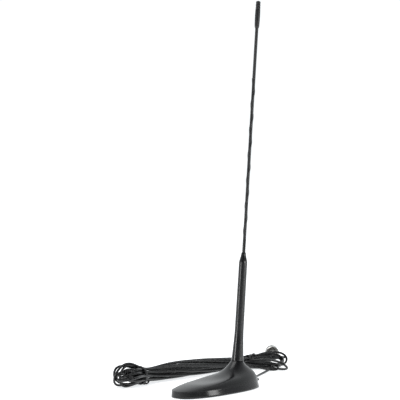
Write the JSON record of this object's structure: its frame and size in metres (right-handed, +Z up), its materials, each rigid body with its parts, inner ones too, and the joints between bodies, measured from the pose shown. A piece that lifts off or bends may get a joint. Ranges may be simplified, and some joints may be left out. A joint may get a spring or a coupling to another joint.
{
  "type": "magnetic mount antenna",
  "caption": "Car-roof antenna on a magnetic teardrop base, with a raked whip that screws off and a tied hank of thin coaxial lead ending in a screw-on plug.",
  "frame": {"origin": "on the floor, at the centre of the foot pad's underside", "axes": "+Z up, nose of the base along -X, lead leaves the tail along +X, hank lies on the +Y side"},
  "size_m": [0.3199, 0.1653, 0.4524],
  "materials": {
    "satin_black": "satin, fine moulded grain",
    "black_rubber": "matte",
    "plated_steel": "bright zinc plating",
    "magnet_grey": "satin",
    "brass": "turned",
    "copper": "drawn copper",
    "board_green": "lacquered board",
    "white_plastic": "satin",
    "ceramic": "glazed",
    "cord_black": "soft satin jacket",
    "boot_black": "satin",
    "glass_fibre": "smooth resin",
    "sleeve_black": "satin, tight sleeve",
    "nickel": "nickel plating",
    "insulator": "moulded resin"
  },
  "bodies": {
    "base": {"base_cover": "satin_black", "base_plate": "satin_black", "foot_pad": "black_rubber", "magnet_cup": "plated_steel", "magnet_ring": "magnet_grey", "base_screws": "plated_steel", "mast_socket": "brass", "solder_tag": "brass", "feed_wire": "copper", "match_board": "board_green", "coil_former": "white_plastic", "coil_winding": "copper", "tuning_capacitor": "ceramic", "cable_clamp": "satin_black", "clamp_screws": "plated_steel", "cable_grommet": "black_rubber", "inner_lead": "cord_black", "lead": "cord_black", "plug_lead": "cord_black", "cord_hank": "cord_black", "left_tie": "cord_black", "right_tie": "cord_black", "plug_body": "nickel", "plug_insulator": "insulator", "plug_pin": "nickel", "plug_reducer": "nickel"},
    "coupling_nut": {"coupling_nut": "nickel"},
    "mast_seal": {"seal_ring": "black_rubber"},
    "mast": {"mast_stud": "plated_steel", "boot_insert": "brass", "mast_boot": "boot_black", "whip_rod": "glass_fibre", "whip_wire": "copper", "whip_sleeve": "sleeve_black", "tip_cap": "boot_black"}
  },
  "joints": [
    {"name": "mast_lift", "type": "slide", "parent": "base", "child": "mast_seal", "axis": [0.0845, 0, 0.9964], "range_m": [0, 0.007]},
    {"name": "mast_unscrew", "type": "hinge", "parent": "mast_seal", "child": "mast", "pos_m": [0.0352, 0, 0.0319], "axis": [0.0845, 0, 0.9964], "range_deg": [0, 2520]},
    {"name": "nut_turn", "type": "hinge", "parent": "base", "child": "coupling_nut", "pos_m": [0.246, 0.134, 0.00912], "axis": [0.7071, 0.7071, 0], "continuous": true}
  ],
  "couplings": [
    {"joint": "mast_unscrew", "follows": "mast_lift", "rad_per_m": 6283.2}
  ]
}
